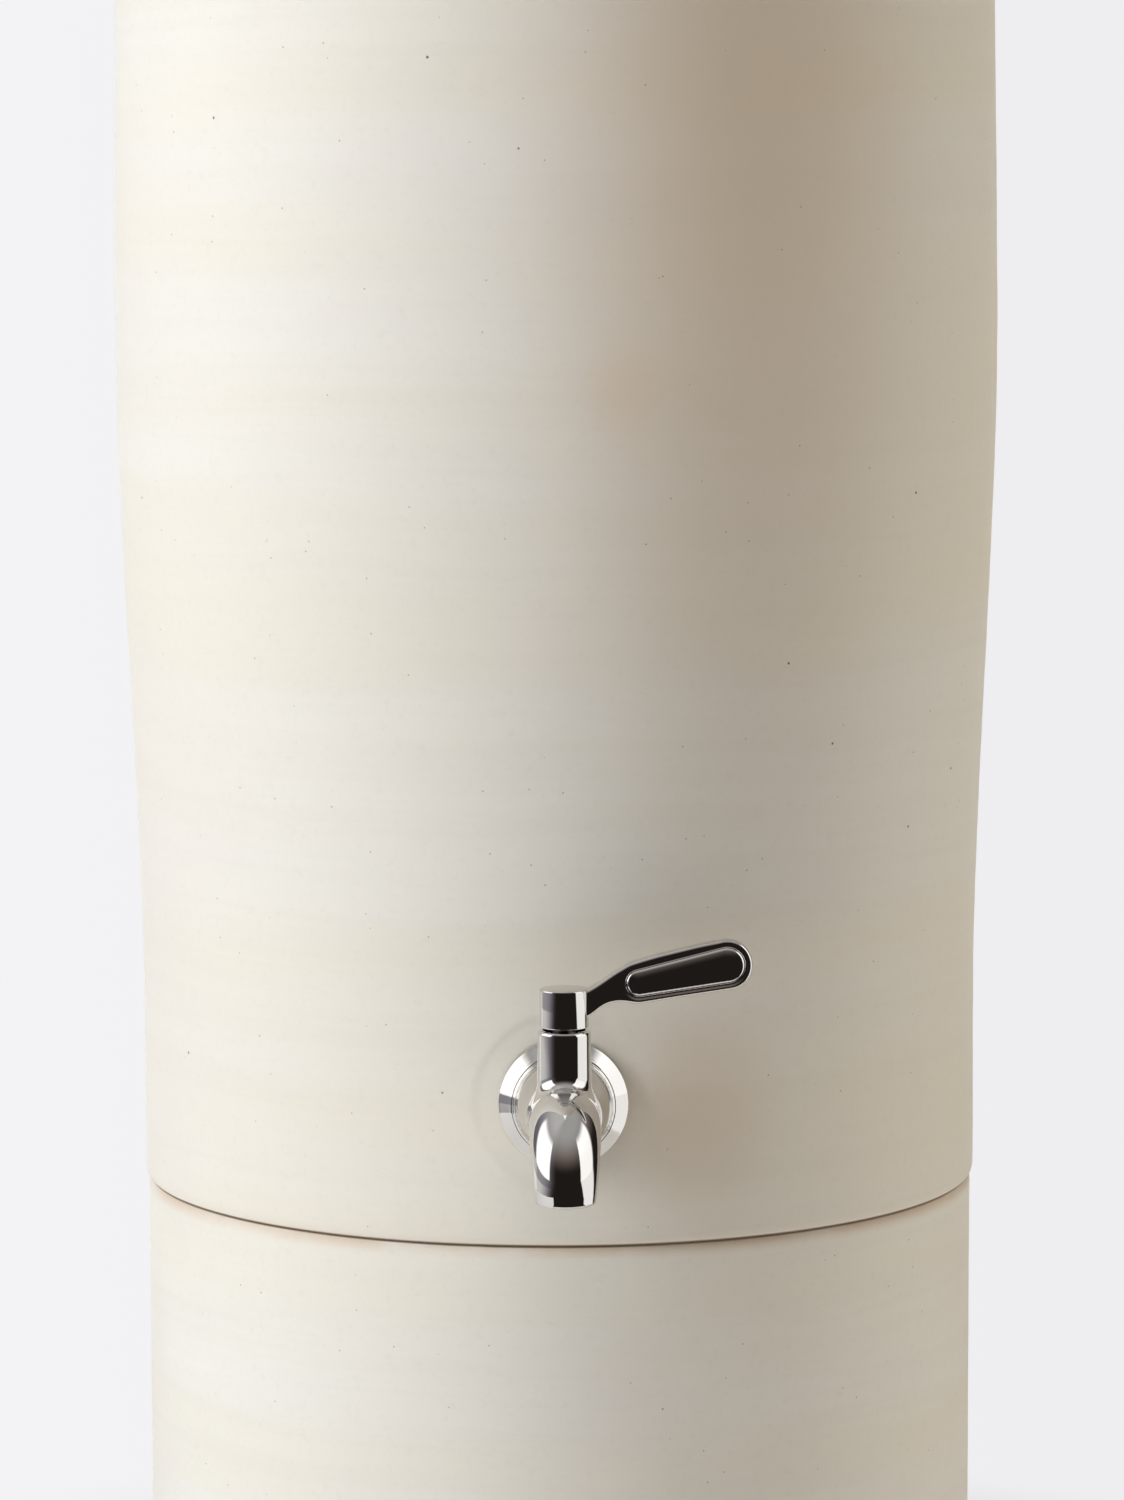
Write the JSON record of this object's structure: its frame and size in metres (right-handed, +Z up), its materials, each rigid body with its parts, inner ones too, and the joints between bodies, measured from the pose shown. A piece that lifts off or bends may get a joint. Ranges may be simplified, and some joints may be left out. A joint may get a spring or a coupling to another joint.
{
  "type": "gravity water filter",
  "caption": "Stoneware gravity water filter: a vessel with a quarter-turn steel tap on a ring stand, with a hanging chamber of candle filters and a lid.",
  "frame": {"origin": "centre of the ring stand's foot, on the surface that the filter stands on", "axes": "+Z up along the vessel's axis, -Y out of the front, where the tap is, and +X the way the closed lever points"},
  "size_m": [0.2492, 0.2987, 0.558],
  "materials": {
    "clay": "satin, hand-thrown stoneware with fine dark specks",
    "polished_steel": "polished stainless steel",
    "brushed_steel": "turned stainless steel",
    "ptfe": "matt",
    "silicone": "matt, translucent white",
    "rubber": "matt",
    "candle_clay": "matt, porous",
    "carbon": "matt, pressed grains",
    "white_plastic": "moulded, slightly glossy"
  },
  "bodies": {
    "stand": {"stand": "clay"},
    "vessel": {"vessel": "clay", "tap_body": "polished_steel", "valve_sleeve": "ptfe", "retaining_clip": "brushed_steel", "stop_pin": "brushed_steel", "flange_washer": "silicone", "inner_washer": "silicone", "tap_nut": "brushed_steel"},
    "tap_lever": {"tap_lever": "polished_steel", "valve_plug": "brushed_steel", "plug_o_rings": "rubber", "lever_grub_screw": "brushed_steel"},
    "filter_chamber": {"filter_chamber": "clay", "candle_shells": "candle_clay", "carbon_cores": "carbon", "candle_bases": "white_plastic", "candle_seal_washers": "silicone", "candle_under_washers": "silicone", "candle_wing_nuts": "white_plastic"},
    "lid": {"lid": "clay"}
  },
  "joints": [
    {"name": "tap_turn", "type": "hinge", "parent": "vessel", "child": "tap_lever", "pos_m": [0, -0.14399, 0.189], "axis": [0, 0, 1], "range_deg": [-90, 0]},
    {"name": "lid_lift", "type": "slide", "parent": "filter_chamber", "child": "lid", "axis": [0, 0, 1], "range_m": [0, 0.12]},
    {"name": "chamber_lift", "type": "slide", "parent": "vessel", "child": "filter_chamber", "axis": [0, 0, 1], "range_m": [0, 0.26]},
    {"name": "vessel_lift", "type": "slide", "parent": "stand", "child": "vessel", "axis": [0, 0, 1], "range_m": [0, 0.08]}
  ]
}
